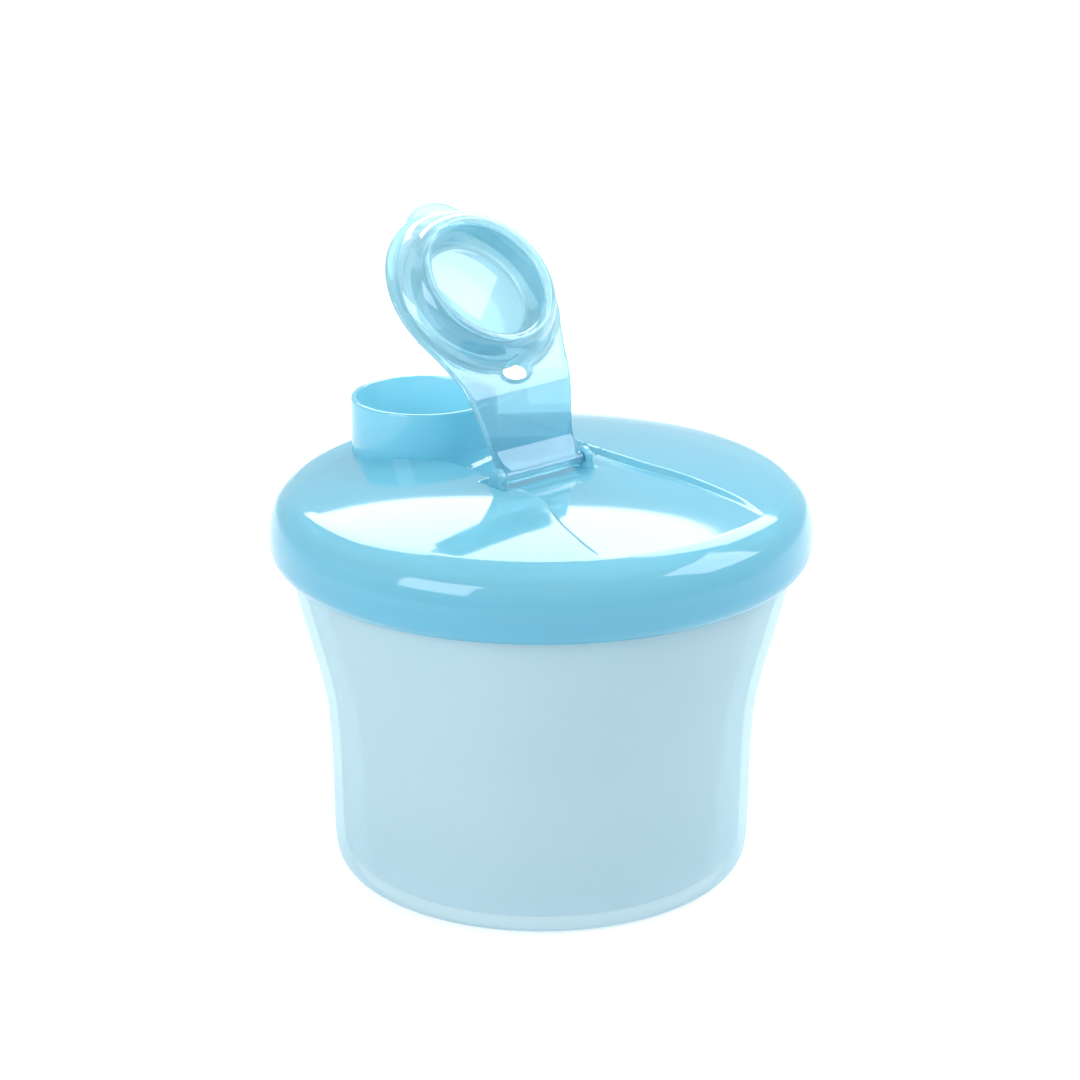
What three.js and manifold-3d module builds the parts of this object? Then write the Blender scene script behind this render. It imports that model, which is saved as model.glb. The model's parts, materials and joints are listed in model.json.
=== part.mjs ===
// Milk powder dispenser: a round cup with a lift-out three-way divider, a turning lid with a
// pouring spout, and a hinged flap whose cap closes the spout. Millimetres, +Z up, the origin
// at the centre of the cup's foot. The flap is drawn swung open.
import * as THREE from "three";
import { mergeVertices } from "three/addons/utils/BufferGeometryUtils.js";
import Module from "manifold-3d";

const wasm = await Module();
wasm.setup();

// ---- driving dimensions ----
const lidRadius = 55.4;
const lidTopZ = 86.5;
const lidCreaseRadius = 48.95;
const lidCreaseZ = 81.4;
const lidShell = 2.8;
const lidRimZ = 66.3;

const recessDepth = 1.3;
const recessFadeRadius = 48.6;

const cupWall = 1.8;
const cupFloor = 2.4;
const cupRimZ = 77;

const finThickness = 1.4;
const finClearance = 0.6;
const finLidGap = 1.1;
const hubRadius = 2.6;
const finAzimuths = [90, 210, 330];

const spoutX = -24.5;
const spoutY = 19.8;
const spoutRadius = 15.1;
const spoutWall = 1.3;
const spoutRimZ = 94;

const hingeReach = 37.4;
const hingeAzimuth = 131;
const hingeZ = 87.0;
const flapOpenDegrees = 47.5;
const barrelRadius = 1.5;
const barrelHalf = 10.2;
const trunnionRadius = 1.0;
const trunnionHalf = 11.6;
const socketRadius = 1.3;
const earGap = 0.45;
const earThickness = 1.7;
const earRadius = 2.2;
const webDrop = 3.4;
const pocketHalfLength = 12.9;
const pocketHalfWidth = 3.6;
const pocketFloorZ = 84.95;
const pocketCutHigh = 5;

const skirtInner = 15.6;
const skirtOuter = 16.45;
const flangeRadius = 19.9;
const flangeLow = 5.4;
const flangeHigh = 6.6;
const tabReach = 21.6;
const tabHalf = 7.2;
const holeAcross = 3.4;
const holeAlong = 2.0;
const holeReach = 18.9;

const roundSegments = 56;
const spoutSegments = 40;
const capSegments = 44;
const smallSegments = 20;

// ---- colours ----
const lidBlue = new THREE.MeshStandardMaterial({ color: 0x8fcfea, roughness: 0.16, metalness: 0 });
const flapBlue = new THREE.MeshStandardMaterial({ color: 0x93d1eb, roughness: 0.18, metalness: 0 });
const cupClear = new THREE.MeshStandardMaterial({ color: 0xc2dfea, roughness: 0.5, metalness: 0 });
const dividerClear = new THREE.MeshStandardMaterial({ color: 0xbfdde9, roughness: 0.5, metalness: 0 });

const degrees = Math.PI / 180;

// ---- solids ----
function toSolid(geometry) {
  const bare = geometry.index ? geometry.toNonIndexed() : geometry.clone();
  bare.deleteAttribute("normal");
  bare.deleteAttribute("uv");
  const merged = mergeVertices(bare, 1e-4);
  return new wasm.Manifold(new wasm.Mesh({
    numProp: 3,
    vertProperties: new Float32Array(merged.attributes.position.array),
    triVerts: new Uint32Array(merged.index.array),
  }));
}

function toGeometry(solid) {
  const mesh = solid.getMesh();
  const geometry = new THREE.BufferGeometry();
  geometry.setAttribute("position", new THREE.BufferAttribute(mesh.vertProperties, 3));
  geometry.setIndex(new THREE.BufferAttribute(mesh.triVerts, 1));
  geometry.computeVertexNormals();
  return geometry;
}

// A profile of [radius, height] points, counter-clockwise, turned about +Z.
function turned(profile, segments = roundSegments) {
  const points = profile.map(([radius, height]) => new THREE.Vector2(radius, height));
  return new THREE.LatheGeometry(points, segments).rotateX(Math.PI / 2);
}

// A flat outline of [x, y] points, raised from one height to another.
function raised(outline, low, high) {
  const shape = new THREE.Shape(outline.map(([x, y]) => new THREE.Vector2(x, y)));
  const geometry = new THREE.ExtrudeGeometry(shape, { depth: high - low, bevelEnabled: false });
  return geometry.translate(0, 0, low);
}

// A round bar centred on the origin along Y.
function barAlongY(radius, half, segments = smallSegments) {
  return new THREE.CylinderGeometry(radius, radius, 2 * half, segments);
}

function smoothCurve(points, count) {
  const path = new THREE.SplineCurve(points.map(([x, y]) => new THREE.Vector2(x, y)));
  return path.getPoints(count).map((point) => [point.x, point.y]);
}

function radiusAt(profile, height) {
  for (let i = 1; i < profile.length; i += 1) {
    const [r0, z0] = profile[i - 1];
    const [r1, z1] = profile[i];
    if (height <= z1) {
      return r0 + (r1 - r0) * (height - z0) / (z1 - z0);
    }
  }
  return profile[profile.length - 1][0];
}

// ---- cup ----
const cupSide = [
  [42.0, 1.25], [42.75, 2.6], [43.1, 4.2], [43.4, 8.2], [43.6, 20.4], [43.9, 28.5], [44.5, 35.6],
  [45.9, 42.8], [47.5, 48.9], [50.1, 59.1], [51.4, 65.2], [51.7, 70.0], [51.8, cupRimZ - 0.6],
];
const cupBore = [
  [39.6, cupFloor + 0.5], [41.0, cupFloor + 1.8], [41.5, cupFloor + 4.2],
  ...cupSide.slice(4).map(([radius, height]) => [radius - cupWall, height]),
];
const cupProfile = [
  [0, 0.7], [30.6, 0.7], [31.8, 0], [39.2, 0], [40.9, 0.35],
  ...cupSide,
  [51.4, cupRimZ], [50.4, cupRimZ],
  ...cupBore.toReversed(),
  [37.4, cupFloor], [0, cupFloor],
];

// ---- lid ----
function domeHeight(radius) {
  return lidTopZ - (lidTopZ - lidCreaseZ) * (radius / lidCreaseRadius) ** 2.5;
}

function recessHeight(radius) {
  const fade = 1 - Math.min(1, radius / recessFadeRadius) ** 5;
  return domeHeight(radius) - recessDepth * fade;
}

const domeRadii = [0, 12, 21, 29, 36, 42, 46];
const lidBand = [
  [lidCreaseRadius, lidCreaseZ], [50.5, 80.8], [51.7, 80.0], [52.9, 79.0], [53.95, 77.8],
  [54.6, 76.4], [55.0, 75.0], [55.3, 73.5], [lidRadius, 71.6], [lidRadius, 70.0], [55.15, 68.6],
  [54.6, 67.5], [53.9, 66.7], [53.3, lidRimZ],
];
const lidInside = [
  [52.6, lidRimZ], [52.4, 66.9], [52.6, 68.4], [53.3, 70.0], [53.7, 72.0], [53.5, 74.0],
  [52.9, 75.8], [51.4, 77.4], [49.6, 78.2], [46.0, domeHeight(46) - lidShell],
];
const domeUnderside = domeRadii.slice(0, -1)
  .map((radius) => [radius, domeHeight(radius) - lidShell]);
const lidShellProfile = [
  ...domeUnderside,
  ...lidInside.toReversed(),
  ...lidBand.toReversed(),
  ...domeRadii.toReversed().map((radius) => [radius, domeHeight(radius)]),
];

// The recess is an hourglass in plan: narrow at the hinge, wide round the spout and wide again
// at the front right, where it fades out at the crease.
const frontEdge = [
  [-47.5, 9.5], [-38.0, 8.2], [-29.9, 5.2], [-20.6, 1.4], [-14.4, -4.9], [-9.2, -12.6],
  [-3.2, -19.5], [0.7, -24.5], [3.6, -33.4], [7.4, -40.9], [11.8, -48.2],
];
const backEdge = [
  [44.6, -23.0], [39.4, -16.2], [35.6, -12.8], [27.9, -6.7], [20.0, -1.4], [12.0, 6.3],
  [7.4, 12.2], [3.4, 19.0], [-0.5, 28.0], [-6.0, 38.5], [-12.0, 48.5],
];
const edgePieces = 18;
const frontCorner = [30, -46];
const backCorner = [-36, 40];
const recessOutline = [
  ...smoothCurve(frontEdge, edgePieces), frontCorner,
  ...smoothCurve(backEdge, edgePieces), backCorner,
];
const recessCeiling = 92;
const recessCutterLow = 70;
const aboveRecess = [
  ...domeRadii.map((radius) => [radius, recessHeight(radius)]),
  [recessFadeRadius, domeHeight(recessFadeRadius)], [recessFadeRadius, recessCeiling],
  [0, recessCeiling],
];

const hingeTurn = new THREE.Matrix4().makeRotationZ(hingeAzimuth * degrees);
const swing = new THREE.Vector3(1, 0, 0).applyMatrix4(hingeTurn);
const hingeX = spoutX - hingeReach * swing.x;
const hingeY = spoutY - hingeReach * swing.y;

function atHinge(geometry) {
  return geometry.applyMatrix4(hingeTurn).translate(hingeX, hingeY, hingeZ);
}

const spoutBase = 76;
const spoutInner = spoutRadius - spoutWall;
const rimEase = 0.3;
const boreOverrun = 4;
const spoutTube = [
  [0, spoutBase], [spoutRadius, spoutBase], [spoutRadius, spoutRimZ - rimEase],
  [spoutRadius - rimEase, spoutRimZ], [0, spoutRimZ],
];
const spoutBore = [
  [0, spoutBase - boreOverrun], [spoutInner, spoutBase - boreOverrun],
  [spoutInner, spoutRimZ - rimEase], [spoutInner + rimEase, spoutRimZ],
  [spoutInner + rimEase, spoutRimZ + boreOverrun], [0, spoutRimZ + boreOverrun],
];

// Everything above a surface just inside the shell's underside, which keeps the tube's foot
// from standing out below the dome.
const footInset = 0.4;
const keepRadius = 52;
const keepTop = 100;
const aboveUnderside = [
  ...[...domeRadii, keepRadius].map((radius) => [radius, domeHeight(radius) - lidShell + footInset]),
  [keepRadius, keepTop], [0, keepTop],
];

function lidSolid() {
  const cutter = toSolid(raised(recessOutline, recessCutterLow, recessCeiling - 1))
    .intersect(toSolid(turned(aboveRecess)));
  const pocket = raised([
    [-pocketHalfWidth, -pocketHalfLength], [pocketHalfWidth, -pocketHalfLength],
    [pocketHalfWidth, pocketHalfLength], [-pocketHalfWidth, pocketHalfLength],
  ], pocketFloorZ - hingeZ, pocketCutHigh);
  let solid = toSolid(turned(lidShellProfile)).subtract(cutter).subtract(toSolid(atHinge(pocket)));
  const tube = toSolid(turned(spoutTube, spoutSegments).translate(spoutX, spoutY, 0));
  solid = solid.add(tube.intersect(toSolid(turned(aboveUnderside))));
  solid = solid.subtract(toSolid(turned(spoutBore, spoutSegments).translate(spoutX, spoutY, 0)));
  for (const side of [-1, 1]) {
    const middle = side * (barrelHalf + earGap + earThickness / 2);
    const boss = barAlongY(earRadius, earThickness / 2).translate(0, middle, 0);
    const web = new THREE.BoxGeometry(2 * earRadius, earThickness, webDrop)
      .translate(0, middle, -webDrop / 2);
    solid = solid.add(toSolid(atHinge(boss))).add(toSolid(atHinge(web)));
  }
  const socket = barAlongY(socketRadius, trunnionHalf + earGap);
  return solid.subtract(toSolid(atHinge(socket)));
}

// ---- divider ----
const finBottom = cupFloor + 0.4;
const finOuterHeights = [finBottom + 0.6, 8, 20.4, 28.5, 35.6, 42.8, 48.9, 59.1, 65.2, 72];
const finTopRadii = [46, 38, 28, 16, 6, 0];
const finFootRadius = 37.6;
const finShoulder = [[49.4, 75.4], [48.6, 76.6]];

function finOutline() {
  const outer = finOuterHeights.map((height) => [radiusAt(cupBore, height) - finClearance, height]);
  const top = finTopRadii.map((radius) => [radius, domeHeight(radius) - lidShell - finLidGap]);
  return [[0, finBottom], [finFootRadius, finBottom], ...outer, ...finShoulder, ...top];
}

function dividerSolid() {
  const hubTop = domeHeight(0) - lidShell - finLidGap;
  const hub = [[0, finBottom], [hubRadius, finBottom], [hubRadius, hubTop], [0, hubTop]];
  let solid = toSolid(turned(hub, smallSegments));
  for (const azimuth of finAzimuths) {
    const fin = raised(finOutline(), -finThickness / 2, finThickness / 2)
      .rotateX(Math.PI / 2).rotateZ(azimuth * degrees);
    solid = solid.add(toSolid(fin));
  }
  return solid;
}

// ---- flap, drawn closed about its hinge axis: +X toward the spout, +Z up ----
const capProfile = [
  [0, 4.3], [12.9, 4.3], [13.3, 4.7], [13.3, 9.6], [13.5, 11.0], [14.0, 11.3], [14.5, 10.4],
  [skirtInner, 6.9], [skirtInner, 3.9], [15.8, 3.6], [16.25, 3.6], [skirtOuter, 3.9],
  [skirtOuter, flangeLow], [flangeRadius - 0.5, flangeLow], [flangeRadius, 6.0],
  [flangeRadius - 0.5, flangeHigh], [18.6, 6.9], [17.7, 7.8], [16.9, 9.4], [16.2, 11.2],
  [15.5, 12.3], [14.7, 12.9], [13.9, 13.1], [13.2, 12.8], [12.8, 12.2], [11.7, 6.6],
  [11.2, 5.8], [10.4, 5.5], [0, 5.5],
];
const flapHalfWidths = [
  [1.2, 10.2], [4, 10.6], [8, 11.3], [14, 12.9], [19, 14.2], [23, 15.5], [26, 16.7],
  [hingeReach - 8, 18.2],
];

const strapPieces = 12;

function strapOutline() {
  const side = smoothCurve(flapHalfWidths, strapPieces);
  return [...side.map(([u, v]) => [u, -v]), ...side.toReversed()];
}

// The strap seen from the side: flat at the barrel, rising, then level with the flange.
const strapSide = [
  [-0.4, -0.75], [3.0, -0.5], [8.0, 1.5], [14.0, 4.1], [18.0, flangeLow], [31, flangeLow],
  [31, flangeHigh], [17.6, flangeHigh], [13.4, 5.4], [7.4, 2.8], [2.6, 0.95], [-0.4, 0.75],
];

const tabHalfOutline = [[16, 8.6], [18.4, tabHalf], [20.6, 5.0]];
const tabInset = 0.05;
const tabPieces = 14;
const cutterLength = 20;
const cutterMiddle = 6;

function tabOutline() {
  const mirrored = tabHalfOutline.map(([u, v]) => [u, -v]);
  const around = [...mirrored, [tabReach, 0], ...tabHalfOutline.toReversed()];
  return smoothCurve(around, tabPieces).map(([u, v]) => [u + hingeReach, v]);
}

function uprightCutter(radius, segments) {
  return new THREE.CylinderGeometry(radius, radius, cutterLength, segments)
    .rotateX(Math.PI / 2).translate(0, 0, cutterMiddle);
}

function flapSolid() {
  const sideView = raised(strapSide, -cutterLength, cutterLength).rotateX(Math.PI / 2);
  const strap = toSolid(raised(strapOutline(), -3, 9)).intersect(toSolid(sideView));
  const tab = toSolid(raised(tabOutline(), flangeLow + tabInset, flangeHigh - tabInset));
  const seat = uprightCutter((skirtInner + skirtOuter) / 2, roundSegments).translate(hingeReach, 0, 0);
  const hole = uprightCutter(1, smallSegments).scale(holeAlong, holeAcross, 1).translate(holeReach, 0, 0);
  const plate = strap.add(tab).subtract(toSolid(seat));
  const cap = toSolid(turned(capProfile, capSegments).translate(hingeReach, 0, 0));
  const barrel = toSolid(barAlongY(barrelRadius, barrelHalf));
  const trunnion = toSolid(barAlongY(trunnionRadius, trunnionHalf));
  return cap.add(plate).add(barrel).add(trunnion).subtract(toSolid(hole));
}

// ---- assembly ----
function part(name, solid, material) {
  const mesh = new THREE.Mesh(toGeometry(solid), material);
  mesh.name = name;
  return mesh;
}

const dispenser = new THREE.Group();
dispenser.add(part("cup", toSolid(turned(cupProfile)), cupClear));
dispenser.add(part("divider", dividerSolid(), dividerClear));
dispenser.add(part("lid", lidSolid(), lidBlue));

const hinge = new THREE.Group();
hinge.position.set(hingeX, hingeY, hingeZ);
hinge.rotation.z = hingeAzimuth * degrees;
const opened = new THREE.Group();
opened.rotation.y = -flapOpenDegrees * degrees;
opened.add(part("flap", flapSolid(), flapBlue));
hinge.add(opened);
dispenser.add(hinge);

export default dispenser;
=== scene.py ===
import json
import math

import bmesh
import bpy
import numpy as np
from mathutils import Matrix, Vector


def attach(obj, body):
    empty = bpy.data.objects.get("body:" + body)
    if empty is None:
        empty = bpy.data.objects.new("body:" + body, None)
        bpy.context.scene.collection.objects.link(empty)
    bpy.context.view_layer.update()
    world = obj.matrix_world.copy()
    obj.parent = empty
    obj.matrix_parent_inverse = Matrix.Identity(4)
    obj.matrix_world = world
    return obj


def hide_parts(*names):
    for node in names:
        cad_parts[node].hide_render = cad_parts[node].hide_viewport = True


# A milk powder dispenser: frosted cup, three-way divider, glossy blue lid and a hinged spout flap.
# Sizes in the dictionaries are millimetres; mm turns them into metres.

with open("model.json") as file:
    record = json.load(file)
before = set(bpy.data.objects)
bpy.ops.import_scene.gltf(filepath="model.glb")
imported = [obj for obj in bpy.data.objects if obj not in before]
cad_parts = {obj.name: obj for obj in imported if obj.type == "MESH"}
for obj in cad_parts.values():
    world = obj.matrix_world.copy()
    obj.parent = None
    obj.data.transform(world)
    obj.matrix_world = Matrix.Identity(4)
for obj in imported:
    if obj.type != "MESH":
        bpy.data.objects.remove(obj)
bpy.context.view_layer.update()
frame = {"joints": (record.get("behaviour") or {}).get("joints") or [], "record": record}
record = frame["record"]
mm = 0.001
detail = 1.0

# sides of the small turned shapes and of the cutting tools
smallPinTurns = 32
pinTurns = 40
hubTurns = 48
holeTurns = 64
toolTurns = 96


def steps(count):
    return max(8, int(round(count * detail)))


def smoothLine(points, count):
    # an even Catmull-Rom curve through points, count stretches between each pair
    held = [points[0]] + list(points) + [points[-1]]
    out = []
    for a, b, c, d in zip(held, held[1:], held[2:], held[3:]):
        for k in range(count):
            t = k / count
            out.append(tuple(
                0.5 * (2 * q + (r - p) * t + (2 * p - 5 * q + 4 * r - s) * t * t
                       + (3 * q - p - 3 * r + s) * t ** 3)
                for p, q, r, s in zip(a, b, c, d)))
    out.append(tuple(points[-1]))
    return out


def smoothStep(value):
    held = np.clip(value, 0.0, 1.0)
    return held * held * (3 - 2 * held)


def makePiece(name, points, faces):
    mesh = bpy.data.meshes.new(name)
    mesh.from_pydata([tuple(p) for p in points], [], faces)
    piece = bpy.data.objects.new(name, mesh)
    bpy.context.scene.collection.objects.link(piece)
    return piece


def turnProfile(name, profile, turns, height=None):
    # a closed solid from a profile of (radius, z) that starts and ends on the axis or meets itself
    closed = profile[0][0] > 0
    angles = [2 * math.pi * k / turns for k in range(turns)]
    points, rows, faces = [], [], []
    for index, (radius, z) in enumerate(profile):
        if radius <= 0:
            rows.append([len(points)] * turns)
            points.append((0, 0, z if height is None else height(index, 0, 0, z)))
            continue
        rows.append(list(range(len(points), len(points) + turns)))
        for a in angles:
            x, y = radius * math.cos(a), radius * math.sin(a)
            points.append((x, y, z if height is None else height(index, x, y, z)))
    pairs = list(zip(rows, rows[1:]))
    if closed:
        pairs.append((rows[-1], rows[0]))
    for low, high in pairs:
        for k in range(turns):
            n = (k + 1) % turns
            corners = [low[k], low[n], high[n], high[k]]
            faces.append([c for i, c in enumerate(corners) if c not in corners[:i]])
    return makePiece(name, points, faces)


def ribbon(name, stations, across=12, around=6):
    # a flat bar with round edges; each station is (distance along, half width, underside, top)
    points, faces, size = [], [], 2 * (across + around)
    fullest = 0.98  # the widest that a round edge may be, as a share of the half width
    for u, half, low, high in stations:
        rise, middle = (high - low) / 2, (high + low) / 2
        edge = min(rise, half * fullest)
        flat = half - edge
        sides = [flat - 2 * flat * k / across for k in range(across + 1)]
        bends = [math.pi / 2 + math.pi * k / around for k in range(1, around)]
        ring = [(v, middle + rise) for v in sides]
        ring += [(-flat + edge * math.cos(a), middle + rise * math.sin(a)) for a in bends]
        ring += [(-v, middle - rise) for v in sides]
        ring += [(flat - edge * math.cos(a), middle - rise * math.sin(a)) for a in bends]
        points += [(u, v, w) for v, w in ring]
    for s in range(len(stations) - 1):
        for k in range(size):
            n = (k + 1) % size
            faces.append([s * size + k, s * size + n, (s + 1) * size + n, (s + 1) * size + k])
    faces.append(list(range(size))[::-1])
    faces.append(list(range((len(stations) - 1) * size, len(stations) * size)))
    return makePiece(name, points, faces)


def faceOutward(piece):
    work = bmesh.new()
    work.from_mesh(piece.data)
    bmesh.ops.recalc_face_normals(work, faces=work.faces)
    work.to_mesh(piece.data)
    work.free()
    return piece


def place(piece, matrix):
    piece.data.transform(matrix)
    return faceOutward(piece)


def join(piece, tool, how):
    change = piece.modifiers.new("join", "BOOLEAN")
    change.operation = how
    change.solver = "MANIFOLD"
    change.object = tool
    bpy.context.view_layer.update()
    changed = piece.evaluated_get(bpy.context.evaluated_depsgraph_get())
    done = bpy.data.meshes.new_from_object(changed)
    piece.modifiers.clear()
    piece.data = done
    bpy.data.objects.remove(tool)
    return piece


def finishPiece(piece, body, node, material, sharp):
    # from millimetres to metres, smooth but for edges over the sharp angle, in its look and on its body
    piece.data.transform(Matrix.Scale(mm, 4))
    piece.data.shade_smooth()
    piece.data.set_sharp_from_angle(angle=math.radians(sharp))
    piece.data.materials.clear()
    piece.data.materials.append(material)
    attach(piece, body)
    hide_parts(node)
    print(f"{piece.name}: {len(piece.data.vertices)} points")
    return piece


class Wire:
    # wraps one socket, so that sums and products of values add their Math nodes
    def __init__(self, paint, socket):
        self.paint = paint
        self.socket = socket

    def maths(self, how, other, flipped=False):
        pair = [other, self] if flipped else [self, other]
        return self.paint.node("ShaderNodeMath", {"operation": how}, {0: pair[0], 1: pair[1]})

    def __add__(self, other):
        return self.maths("ADD", other)

    def __radd__(self, other):
        return self.maths("ADD", other, True)

    def __sub__(self, other):
        return self.maths("SUBTRACT", other)

    def __rsub__(self, other):
        return self.maths("SUBTRACT", other, True)

    def __mul__(self, other):
        return self.maths("MULTIPLY", other)

    def __rmul__(self, other):
        return self.maths("MULTIPLY", other, True)


class Paint:
    # one material, written node by node
    def __init__(self, name):
        self.material = bpy.data.materials.new(name)
        self.material.use_nodes = True
        self.tree = self.material.node_tree
        self.tree.nodes.clear()

    def node(self, kind, settings=None, sockets=None, out=0):
        made = self.tree.nodes.new(kind)
        for key, value in (settings or {}).items():
            setattr(made, key, value)
        for key, value in (sockets or {}).items():
            socket = made.inputs[key]
            if isinstance(value, Wire):
                self.tree.links.new(value.socket, socket)
            else:
                socket.default_value = value
        return Wire(self, made.outputs[out]) if made.outputs else None

    def noise(self, where, scale, fine=2.0, rough=0.5):
        return self.node("ShaderNodeTexNoise", None, {
            "Vector": where, "Scale": scale, "Detail": fine, "Roughness": rough}, "Fac")

    def blend(self, amount, first, second):
        return self.node("ShaderNodeMix", {"data_type": "RGBA"}, {0: amount, 6: first, 7: second}, 2)

    def surface(self, shader):
        self.node("ShaderNodeOutputMaterial", None, {"Surface": shader})
        return self.material


def rgb(text):
    # a hex colour as Blender's linear values
    parts = [int(text[i:i + 2], 16) / 255 for i in (0, 2, 4)]
    return tuple(c / 12.92 if c <= 0.04045 else ((c + 0.055) / 1.055) ** 2.4 for c in parts) + (1.0,)


mouldMarks = {  # each noise's detail and roughness, how far flow shifts the gloss, relief in metres
    "flow": (3.0, 0.55), "grain": (2.0, 0.6), "ripple": (1.0, 0.4), "flowGloss": 0.03, "relief": 0.0002,
}


def moulded(name, look):
    # moulded polypropylene: a milky body under a gloss that dips and ripples very slightly, its colour
    # darkened towards the bottom by painted shade
    marks = mouldMarks
    paint = Paint(name)
    spot = paint.node("ShaderNodeTexCoord", out="Object")
    flow = paint.noise(spot, look["flowScale"], *marks["flow"])
    grain = paint.noise(spot, look["grainScale"], *marks["grain"])
    ripple = paint.noise(spot, look["rippleScale"], *marks["ripple"])
    height = paint.node("ShaderNodeSeparateXYZ", None, {"Vector": spot}, "Z")
    # painted shade: below the given heights in metres each piece shades into its darker foot colour
    low, high = look["fade"]
    rise = paint.node("ShaderNodeMapRange", {"interpolation_type": "SMOOTHSTEP"}, {
        "Value": height, "From Min": low, "From Max": high})
    mottle = paint.blend(flow, rgb(look["light"]), rgb(look["deep"]))
    # the random mottle above, the painted shade colour below
    mottleAndShade = paint.blend(rise, rgb(look["foot"]), mottle)
    gloss = look["roughness"] + (grain - 0.5) * look["roughnessSpread"]
    gloss = gloss + (flow - 0.5) * marks["flowGloss"]
    relief = paint.node("ShaderNodeBump", None, {
        "Strength": look["bump"], "Distance": marks["relief"],
        "Height": ripple + grain * look["grainBump"]})
    body = paint.node("ShaderNodeBsdfPrincipled", None, {
        "Base Color": mottleAndShade, "Roughness": gloss, "Normal": relief, "IOR": look["ior"],
        "Specular IOR Level": look["specular"], "Transmission Weight": look["glass"],
        "Coat Weight": look["coat"], "Coat Roughness": look["coatRoughness"]})
    through = paint.node("ShaderNodeBsdfTranslucent", None, {
        "Color": rgb(look["glow"]), "Normal": relief})
    milky = paint.node("ShaderNodeMixShader", None, {0: look["milky"], 1: body, 2: through})
    clear = paint.node("ShaderNodeBsdfTransparent", None, {"Color": rgb(look["tint"])})
    mixed = paint.node("ShaderNodeMixShader", None, {0: look["clear"], 1: milky, 2: clear})
    return paint.surface(mixed)


cupShape = {
    "wall": 1.8, "floor": 2.4, "footLift": 0.7, "footDish": 30.4, "footFlat": 39.2,
    "foot": [(30.6, 0.7), (31.2, 0.35), (31.8, 0)],
    "heel": [(40.9, 0.35), (42.0, 1.25)],
    "side": [(42.75, 2.6), (43.1, 4.2), (43.4, 8.2), (43.6, 20.4), (43.9, 28.5), (44.5, 35.6),
             (45.9, 42.8), (47.5, 48.9), (50.1, 59.1), (51.4, 65.2), (51.7, 70.0), (51.8, 76.2)],
    "lip": [(51.8, 76.2), (51.5, 76.9), (50.9, 77.0), (50.3, 76.8), (50.0, 76.0)],
    "corner": [(37.4, 2.4), (39.6, 2.9), (41.0, 4.2), (41.5, 6.6)],
    "cornerTop": 15, "turns": 240, "sharp": 60,
}
frosted = {
    # foot is the painted shade colour at the bottom of the cup and of the divider; the heights after it
    # say where it gives way
    "light": "DFF0F4", "deep": "D3E8EE", "glow": "DFEFF3", "tint": "DBEDF2", "foot": "D2E8F0",
    "fade": (0.0, 0.03), "flowScale": 22.0, "grainScale": 1400.0, "rippleScale": 60.0,
    "roughness": 0.34, "roughnessSpread": 0.12, "bump": 0.25, "grainBump": 0.5, "ior": 1.42,
    "specular": 0.2, "coat": 0.0, "coatRoughness": 0.15, "glass": 0.0, "milky": 0.35, "clear": 0.42,
}


def cupProfile():
    s = cupShape
    outer = [(s["footFlat"], 0)] + s["heel"] + s["side"]
    inner = [(r - s["wall"], z) for r, z in s["side"] if z > s["cornerTop"]]
    profile = [(0, s["footLift"]), (s["footDish"], s["footLift"])] + smoothLine(s["foot"], 3)
    profile += smoothLine(outer, 6)[:-1] + smoothLine(s["lip"], 4)
    return profile + smoothLine((s["corner"] + inner[:-1])[::-1], 6) + [(0, s["floor"])]


def makeCup():
    s = cupShape
    cup = faceOutward(turnProfile("cup_shell", cupProfile(), steps(s["turns"])))
    plastic = moulded("frosted cup plastic", frosted)
    return finishPiece(cup, "cup", "cup", plastic, s["sharp"])


finShape = {
    "thickness": 1.4, "hub": 2.6, "bottom": 2.8, "azimuths": (90, 210, 330), "edgeGap": 0.6,
    "lidGap": 3.9, "bevel": 0.25, "edgeTop": 72, "sharp": 38,
    "foot": [(37.6, 2.8), (38.8, 3.4), (40.7, 8)],
    "shoulder": [(49.4, 75.4), (48.6, 76.6)],
    "crown": (46, 38, 28, 16, 6, 0),  # radii at which the top edge follows the dome
}
finPlastic = dict(frosted, light="C6E2EC", deep="B6D9E6", clear=0.1, milky=0.3)


def makeDivider():
    f = finShape
    wall = cupShape["wall"] + f["edgeGap"]
    edge = [(r - wall, z) for r, z in smoothLine(cupShape["side"][3:], 4) if z < f["edgeTop"]]
    crown = [(r, domeHeight(r) - f["lidGap"]) for r in f["crown"]]
    outline = [(0, f["bottom"])] + f["foot"] + edge + f["shoulder"] + crown
    half = f["thickness"] / 2
    top = crown[-1][1]
    hub = [(0, f["bottom"]), (f["hub"], f["bottom"]), (f["hub"], top), (0, top)]
    divider = faceOutward(turnProfile("divider_insert", hub, hubTurns))
    for azimuth in f["azimuths"]:
        count = len(outline)
        points = [(r, side, z) for side in (-half, half) for r, z in outline]
        faces = [list(range(count)), list(range(count, 2 * count))[::-1]]
        faces += [[k, (k + 1) % count, (k + 1) % count + count, k + count] for k in range(count)]
        fin = place(makePiece("fin", points, faces), Matrix.Rotation(math.radians(azimuth), 4, "Z"))
        join(divider, fin, "UNION")
    soften = divider.modifiers.new("soft edges", "BEVEL")
    soften.width = f["bevel"] * mm
    soften.segments = 2
    soften.limit_method = "ANGLE"
    plastic = moulded("frosted divider plastic", finPlastic)
    return finishPiece(divider, "divider", "divider", plastic, f["sharp"])


bore = next(o for o in record["physics"]["openings"] if o["name"] == "spout_bore")["box_m"]
spoutSpot = Vector(((bore[0][0] + bore[1][0]) / 2, (bore[0][1] + bore[1][1]) / 2, 0)) / mm
swingJoint = next(j for j in frame["joints"] if j["name"] == "flap_swing")
hingeSpot = Vector(swingJoint["pos_m"]) / mm
hingeAxis = Vector(swingJoint["axis"])
swingAzimuth = math.atan2(hingeAxis.x, -hingeAxis.y)
closedAngle = math.radians(swingJoint["range_deg"][0])

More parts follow.
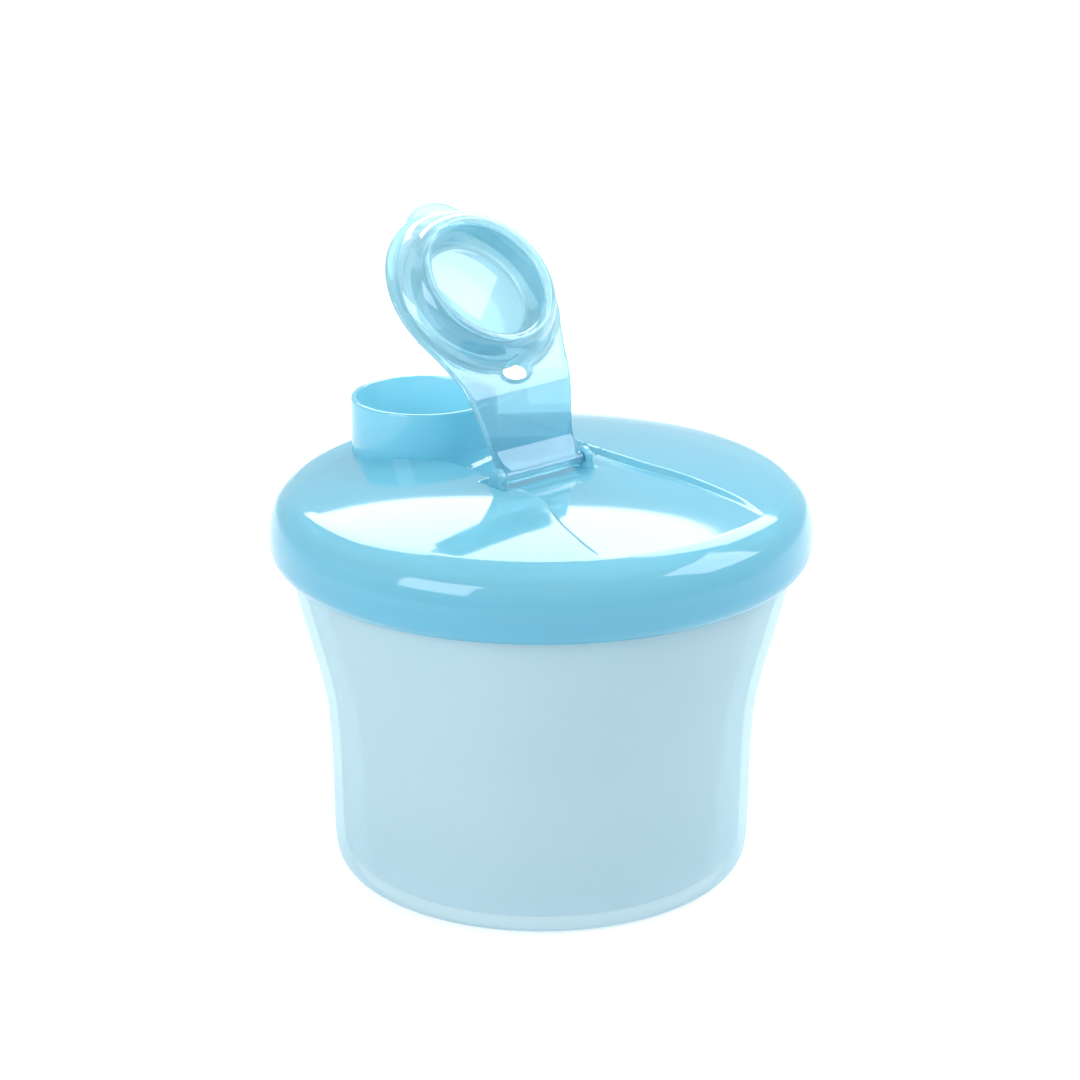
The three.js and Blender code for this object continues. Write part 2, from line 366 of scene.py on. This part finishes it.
lidShape = {
    "top": 86.5, "crease": 48.95, "creaseHeight": 81.4, "domePower": 2.5, "shell": 2.8,
    "under": (44, 40, 35, 29, 21, 12, 0),  # radii of the dome's inner face
    "turns": 600, "ringStep": 0.45, "widest": 55.39, "sharp": 42,
    "band": [(48.95, 81.4), (50.5, 80.8), (51.7, 80.0), (52.9, 79.0), (53.95, 77.8), (54.6, 76.4),
             (55.0, 75.0), (55.3, 73.5), (55.4, 71.6), (55.4, 70.0), (55.15, 68.6), (54.6, 67.5),
             (53.9, 66.7), (53.3, 66.3)],
    "inside": [(52.6, 66.35), (52.4, 66.9), (52.6, 68.4), (53.3, 70.0), (53.7, 72.0), (53.5, 74.0),
               (52.9, 75.8), (51.4, 77.4), (49.6, 78.2), (46.0, 78.3)],
}
recessShape = {  # the sunken band across the dome: its two curved edges, and the corners that close it
    "depth": 1.3, "fadeRadius": 48.6, "fadePower": 5, "edgeWidth": 0.9,
    "softEdgeWidth": 2.6, "softBelow": (-8, 12), "softOver": 8,
    "frontEdge": [(-47.5, 9.5), (-38.0, 8.2), (-29.9, 5.2), (-20.6, 1.4), (-14.4, -4.9),
                  (-9.2, -12.6), (-3.2, -19.5), (0.7, -24.5), (3.6, -33.4), (7.4, -40.9),
                  (11.8, -48.2), (14, -54)],
    "rightCorner": (36, -46),
    "backEdge": [(50, -27), (44.6, -23.0), (39.4, -16.2), (35.6, -12.8), (27.9, -6.7), (20.0, -1.4),
                 (12.0, 6.3), (7.4, 12.2), (3.4, 19.0), (-0.5, 28.0), (-6.0, 38.5), (-12.0, 48.5)],
    "leftCorner": (-38, 42),
    "rib": [(-14.3, -1.6), (-10.5, 4.0)], "ribHeight": 0.6, "ribHalf": 0.8,
}
spoutShape = {  # lips are (out from the wall, up from the rim)
    "radius": 15.1, "wall": 1.3, "foot": 76, "rim": 94.0, "sunk": 0.4, "lipDepth": 0.55,
    "outerLip": [(0, -0.5), (-0.2, -0.12), (-0.65, 0)],
    "innerLip": [(0, -0.5), (0.2, -0.12), (0.6, 0.02), (0.6, 3)],
    "seatRadii": (0, 12, 21, 29, 36, 42, 46, 52), "turns": 200, "boreFoot": 70, "clear": 99,
}
earShape = {  # the two hinge ears and the pocket that they stand in
    "radius": 2.2, "inner": 10.65, "thickness": 1.7, "innerEase": 0.3, "outerEase": 0.5,
    "webDrop": 3.3, "webInset": 0.04, "socket": 1.3, "socketHalf": 12.05,
    "pocketHalfWidth": 3.6, "pocketHalfLength": 12.9, "pocketFloor": 84.95, "pocketEase": 0.7,
}
bluePlastic = {
    # foot is the painted shade colour on the lower part of the lid's band; the heights after it say
    # where it gives way
    "light": "9FE0EF", "deep": "79CFE5", "glow": "A4DEED", "tint": "B8E5F1", "foot": "74C8E1",
    "fade": (0.07, 0.08), "flowScale": 14.0, "grainScale": 900.0, "rippleScale": 45.0,
    "roughness": 0.08, "roughnessSpread": 0.05, "bump": 0.12, "grainBump": 0.08, "ior": 1.49,
    "specular": 0.5, "coat": 0.7, "coatRoughness": 0.05, "glass": 0.3, "milky": 0.3, "clear": 0.15,
}


def domeHeight(radius):
    s = lidShape
    fall = s["top"] - s["creaseHeight"]
    return s["top"] - fall * (radius / s["crease"]) ** s["domePower"]


def edgeDistance(x, y, outline):
    # distance to a closed outline, positive inside it
    near = np.full(x.shape, 1e9)
    inside = np.zeros(x.shape, bool)
    for (ax, ay), (bx, by) in zip(outline, outline[1:] + outline[:1]):
        dx, dy = bx - ax, by - ay
        t = np.clip(((x - ax) * dx + (y - ay) * dy) / (dx * dx + dy * dy), 0, 1)
        near = np.minimum(near, np.hypot(x - ax - t * dx, y - ay - t * dy))
        if dy:
            inside ^= ((ay > y) != (by > y)) & (x < ax + dx * (y - ay) / dy)
    return np.where(inside, near, -near)


def recessDepth(x, y):
    s = recessShape
    outline = smoothLine(s["frontEdge"], 5) + [s["rightCorner"]]
    outline += smoothLine(s["backEdge"], 5) + [s["leftCorner"]]
    softX, softY = s["softBelow"]
    soft = smoothStep((softX - x) / s["softOver"]) * smoothStep((softY - y) / s["softOver"])
    width = s["edgeWidth"] + (s["softEdgeWidth"] - s["edgeWidth"]) * soft
    depth = s["depth"] * (1 - np.minimum(1, np.hypot(x, y) / s["fadeRadius"]) ** s["fadePower"])
    return depth * smoothStep(0.5 + edgeDistance(x, y, outline) / width)


def ribRise(x, y):
    # the short raised mark in the recess, near its front edge
    s = recessShape
    (ax, ay), (bx, by) = s["rib"]
    dx, dy = bx - ax, by - ay
    t = np.clip(((x - ax) * dx + (y - ay) * dy) / (dx ** 2 + dy ** 2), 0, 1)
    away = np.hypot(x - ax - t * dx, y - ay - t * dy)
    return s["ribHeight"] * smoothStep(1 - away / s["ribHalf"])


def pocketShare(x, y):
    # 1 in the pocket under the flap's foot, 0 outside it
    s = earShape
    u = (x - hingeSpot.x) * math.cos(swingAzimuth) + (y - hingeSpot.y) * math.sin(swingAzimuth)
    v = -(x - hingeSpot.x) * math.sin(swingAzimuth) + (y - hingeSpot.y) * math.cos(swingAzimuth)
    room = np.minimum(s["pocketHalfWidth"] - abs(u), s["pocketHalfLength"] - abs(v))
    return smoothStep(0.5 + room / s["pocketEase"])


def lidTop(x, y):
    height = domeHeight(np.hypot(x, y)) - recessDepth(x, y) + ribRise(x, y)
    return height - np.maximum(0, height - earShape["pocketFloor"]) * pocketShare(x, y)


def atHinge():
    return Matrix.Translation(hingeSpot) @ Matrix.Rotation(swingAzimuth, 4, "Z")


def addSpout(lid):
    s = spoutShape
    outer, inner, rim, clear = s["radius"], s["radius"] - s["wall"], s["rim"], s["clear"]
    spoutAt = Matrix.Translation(spoutSpot)
    tube = [(0, s["foot"]), (outer, s["foot"]), (outer, rim - s["lipDepth"])]
    tube += smoothLine([(outer + out, rim + up) for out, up in s["outerLip"]], 3) + [(0, rim)]
    spout = place(turnProfile("spout", tube, steps(s["turns"])), spoutAt)
    above = [(r, domeHeight(r) - lidShape["shell"] + s["sunk"]) for r in s["seatRadii"]]
    above += [(above[-1][0], clear), (0, clear)]
    join(spout, faceOutward(turnProfile("above", above, toolTurns)), "INTERSECT")
    join(lid, spout, "UNION")
    hole = [(0, s["boreFoot"]), (inner, s["boreFoot"])]
    hole += [(inner + out, rim + up) for out, up in s["innerLip"]] + [(0, rim + s["innerLip"][-1][1])]
    join(lid, place(turnProfile("bore", hole, steps(s["turns"])), spoutAt), "DIFFERENCE")


def addEars(lid):
    s = earShape
    r, low, high = s["radius"], s["inner"], s["inner"] + s["thickness"]
    ear = [(0, low), (r - s["innerEase"], low), (r, low + s["innerEase"]), (r, high - s["outerEase"]),
           (r - s["outerEase"], high), (0, high)]
    quarter = math.pi / 2
    for side in (-1, 1):
        turnDown = atHinge() @ Matrix.Rotation(-side * quarter, 4, "X")
        join(lid, place(turnProfile("ear", ear, pinTurns), turnDown), "UNION")
        ends = [side * (low + s["webInset"]), side * (high - s["webInset"])]
        web = ribbon("web", [(u, r - s["webInset"] / 2, -s["webDrop"], 0) for u in ends])
        join(lid, place(web, atHinge() @ Matrix.Rotation(quarter, 4, "Z")), "UNION")
    half = s["socketHalf"]
    pin = [(0, -half), (s["socket"], -half), (s["socket"], half), (0, half)]
    alongHinge = atHinge() @ Matrix.Rotation(quarter, 4, "X")
    join(lid, place(turnProfile("pin", pin, smallPinTurns), alongHinge), "DIFFERENCE")


def makeLid():
    s = lidShape
    turns = steps(s["turns"])
    rings = steps(s["crease"] / s["ringStep"])
    top = [(s["crease"] * k / rings, 0) for k in range(rings)]
    under = [(r, domeHeight(r) - s["shell"]) for r in s["under"]]
    band = [(min(r, s["widest"]), z) for r, z in smoothLine(s["band"], 5)]
    profile = top + band + smoothLine(s["inside"], 3) + under
    radii = np.array([r for r, z in top])[:, None]
    angles = 2 * math.pi * np.arange(turns)[None, :] / turns
    heights = lidTop(radii * np.cos(angles), radii * np.sin(angles))

    def height(index, x, y, z):
        if index >= rings:
            return z
        turn = int(round(math.atan2(y, x) / (2 * math.pi) * turns)) % turns
        return float(heights[index, turn])

    lid = faceOutward(turnProfile("lid_shell", profile, turns, height))
    addSpout(lid)
    addEars(lid)
    plastic = moulded("glossy lid plastic", bluePlastic)
    return finishPiece(lid, "lid", "lid", plastic, s["sharp"])


flapShape = {  # heights are from the hinge line, with the flap level
    "reach": 37.4,
    "plug": [(0, 4.3), (12.9, 4.3), (13.3, 4.7)],
    "groove": [(13.3, 9.6), (13.5, 11.0), (14.0, 11.3), (14.5, 10.4), (15.6, 6.9), (15.6, 3.9)],
    "skirt": [(15.6, 3.9), (15.8, 3.6), (16.25, 3.6), (16.45, 3.9), (16.45, 5.4)],
    "outer": [(19.2, 5.4), (19.75, 5.6), (19.9, 6.0), (19.75, 6.4), (19.3, 6.62), (18.6, 6.9),
              (17.7, 7.8), (16.9, 9.4), (16.2, 11.2), (15.5, 12.3), (14.7, 12.9), (13.9, 13.1),
              (13.2, 12.8), (12.8, 12.2), (12.4, 10.0), (11.7, 6.6), (11.2, 5.8), (10.4, 5.5)],
    "wellFloor": 5.5, "turns": 240, "sharp": 42,
    "strap": [  # distance from the hinge, half width, underside, top
        (-1.25, 9.7, -0.8, 0.8), (-0.6, 10.1, -1.35, 1.35), (0.4, 10.2, -1.45, 1.45),
        (2.0, 10.4, -1.0, 1.35), (4.5, 10.7, -0.1, 1.6), (8.0, 11.3, 1.5, 2.95),
        (14.0, 12.9, 4.1, 5.55), (17.6, 13.8, 5.25, 6.55), (21.0, 14.8, 5.42, 6.62),
        (26.0, 16.7, 5.42, 6.62), (30.0, 18.6, 5.42, 6.62)],
    "seat": 16.0, "seatHeights": (-9, 20),  # the strap is cut away inside this
    "tab": [(16.3, 8.6), (18.0, 7.5), (19.3, 6.5), (20.3, 5.2), (21.0, 3.8), (21.45, 2.2),
            (21.6, 0.8)],
    "tabHeights": (5.36, 6.52),
    "pins": [(1.5, 10.2), (1.0, 11.6)], "pinEase": 0.25,  # the barrel and the trunnions in the ears
    "holeSpot": 18.9, "holeSize": (2.0, 3.4), "holeTop": 12,  # half sizes; the lip's radii are shares
    "holeLip": [(1.0, 5.6), (1.0, 6.87), (1.144, 7.05), (1.27, 6.725), (1.342, 6.2), (1.27, 5.6)],
}
# foot is the painted shade colour on the lower part of the flap, near its hinge
flapPlastic = dict(
    bluePlastic, light="B4DFEA", deep="9CD3E3", glow="B4DFEB", tint="C8E3EA", foot="6EBFDA",
    fade=(0.0885, 0.116), roughness=0.05, roughnessSpread=0.03, glass=0.78, clear=0.28, milky=0.1)


def rounded(radius, low, high, ease):
    return [(0, low), (radius - ease, low), (radius, low + ease), (radius, high - ease),
            (radius - ease, high), (0, high)]


def makeCap():
    s = flapShape
    profile = s["plug"] + smoothLine(s["groove"], 4)[:-1] + s["skirt"]
    profile += smoothLine(s["outer"], 5) + [(0, s["wellFloor"])]
    return turnProfile("spout_flap", profile, steps(s["turns"]))


def addStrap(flap, capAt):
    s = flapShape
    strap = faceOutward(ribbon("strap", smoothLine(s["strap"], 6), 40, 8))
    low, high = s["seatHeights"]
    seat = [(0, low), (s["seat"], low), (s["seat"], high), (0, high)]
    join(strap, place(turnProfile("inside", seat, toolTurns), capAt), "DIFFERENCE")
    join(flap, strap, "UNION")
    tab = [(u + s["reach"], half, *s["tabHeights"]) for u, half in smoothLine(s["tab"], 4)]
    join(flap, faceOutward(ribbon("tab", tab, 16, 8)), "UNION")
    across = Matrix.Rotation(math.pi / 2, 4, "X")
    for radius, half in s["pins"]:
        pin = turnProfile("pin", rounded(radius, -half, half, s["pinEase"]), pinTurns)
        join(flap, place(pin, across), "UNION")


def addFingerHole(flap):
    # an oval hole with a raised lip, both turned round and then stretched to its size
    s = flapShape
    stretch = Matrix.Diagonal((*s["holeSize"], 1, 1))
    holeAt = Matrix.Translation((s["holeSpot"], 0, 0)) @ stretch
    cutter = [(0, 0), (1, 0), (1, s["holeTop"]), (0, s["holeTop"])]
    join(flap, place(turnProfile("lip", s["holeLip"], holeTurns), holeAt), "UNION")
    join(flap, place(turnProfile("hole", cutter, holeTurns), holeAt), "DIFFERENCE")


def makeFlap():
    s = flapShape
    capAt = Matrix.Translation((s["reach"], 0, 0))
    flap = place(makeCap(), capAt)
    addStrap(flap, capAt)
    addFingerHole(flap)
    place(flap, atHinge() @ Matrix.Rotation(closedAngle, 4, "Y"))
    plastic = moulded("glossy flap plastic", flapPlastic)
    return finishPiece(flap, "flap", "flap", plastic, s["sharp"])


makeCup()
makeDivider()
makeLid()
makeFlap()
print("pieces made")

studio = {  # in metres
    "cameraSpot": (0.0, -0.605, 0.2791), "cameraTilt": 70.83, "lens": 104.33, "sensor": 36,
    "shift": -0.0012, "world": 0.8, "aim": (0, 0, 0.08),
    "floorHalf": 6.0, "floorTones": ("CACBCB", "C6C8C9"), "floorMottle": 3.0,
    "floorRoughness": 0.85, "floorGlow": 0.5,
    "boxes": [  # where each softbox stands, its size and its brightness
        ((0.05, 0.62, 0.66), (1.08, 0.42), 6.0),
        ((-0.47, -0.48, 0.42), (0.40, 0.40), 5.5),
        ((0.68, 0.0, 0.60), (0.50, 0.46), 5.0),
    ],
}
white = (1, 1, 1, 1)


def makeFloor():
    s = studio
    half = s["floorHalf"]
    corners = [(-half, -half, 0), (half, -half, 0), (half, half, 0), (-half, half, 0)]
    floor = makePiece("floor", corners, [[0, 1, 2, 3]])
    paint = Paint("pale floor")
    spot = paint.node("ShaderNodeTexCoord", out="Object")
    first, second = s["floorTones"]
    tone = paint.blend(paint.noise(spot, s["floorMottle"]), rgb(first), rgb(second))
    body = paint.node("ShaderNodeBsdfPrincipled", None, {
        "Base Color": tone, "Roughness": s["floorRoughness"], "Emission Color": white,
        "Emission Strength": s["floorGlow"]})
    floor.data.materials.append(paint.surface(body))


def addSoftbox(name, spot, size, brightness):
    light = bpy.data.lights.new(name, "AREA")
    light.shape = "RECTANGLE"
    light.size, light.size_y = size
    light.energy = brightness * math.pi * size[0] * size[1]
    holder = bpy.data.objects.new(name, light)
    holder.location = spot
    aim = Vector(studio["aim"]) - Vector(spot)
    holder.rotation_euler = aim.to_track_quat("-Z", "Y").to_euler()
    bpy.context.scene.collection.objects.link(holder)


def lightWorld(scene):
    world = bpy.data.worlds.new("studio")
    scene.world = world
    world.use_nodes = True
    back = world.node_tree.nodes["Background"]
    back.inputs["Color"].default_value = white
    back.inputs["Strength"].default_value = studio["world"]


def aimCamera(scene):
    s = studio
    camera = bpy.data.cameras.new("camera")
    camera.lens = s["lens"]
    camera.sensor_width = s["sensor"]
    camera.shift_x = s["shift"]
    holder = bpy.data.objects.new("camera", camera)
    holder.location = s["cameraSpot"]
    holder.rotation_euler = (math.radians(s["cameraTilt"]), 0, 0)
    scene.collection.objects.link(holder)
    scene.camera = holder


def makeStudio():
    scene = bpy.context.scene
    makeFloor()
    lightWorld(scene)
    for k, (spot, size, brightness) in enumerate(studio["boxes"]):
        addSoftbox(f"softbox {k + 1}", spot, size, brightness)
    aimCamera(scene)
    scene.view_settings.view_transform = "Standard"
    scene.cycles.use_denoising = True
    print("studio set")


makeStudio()
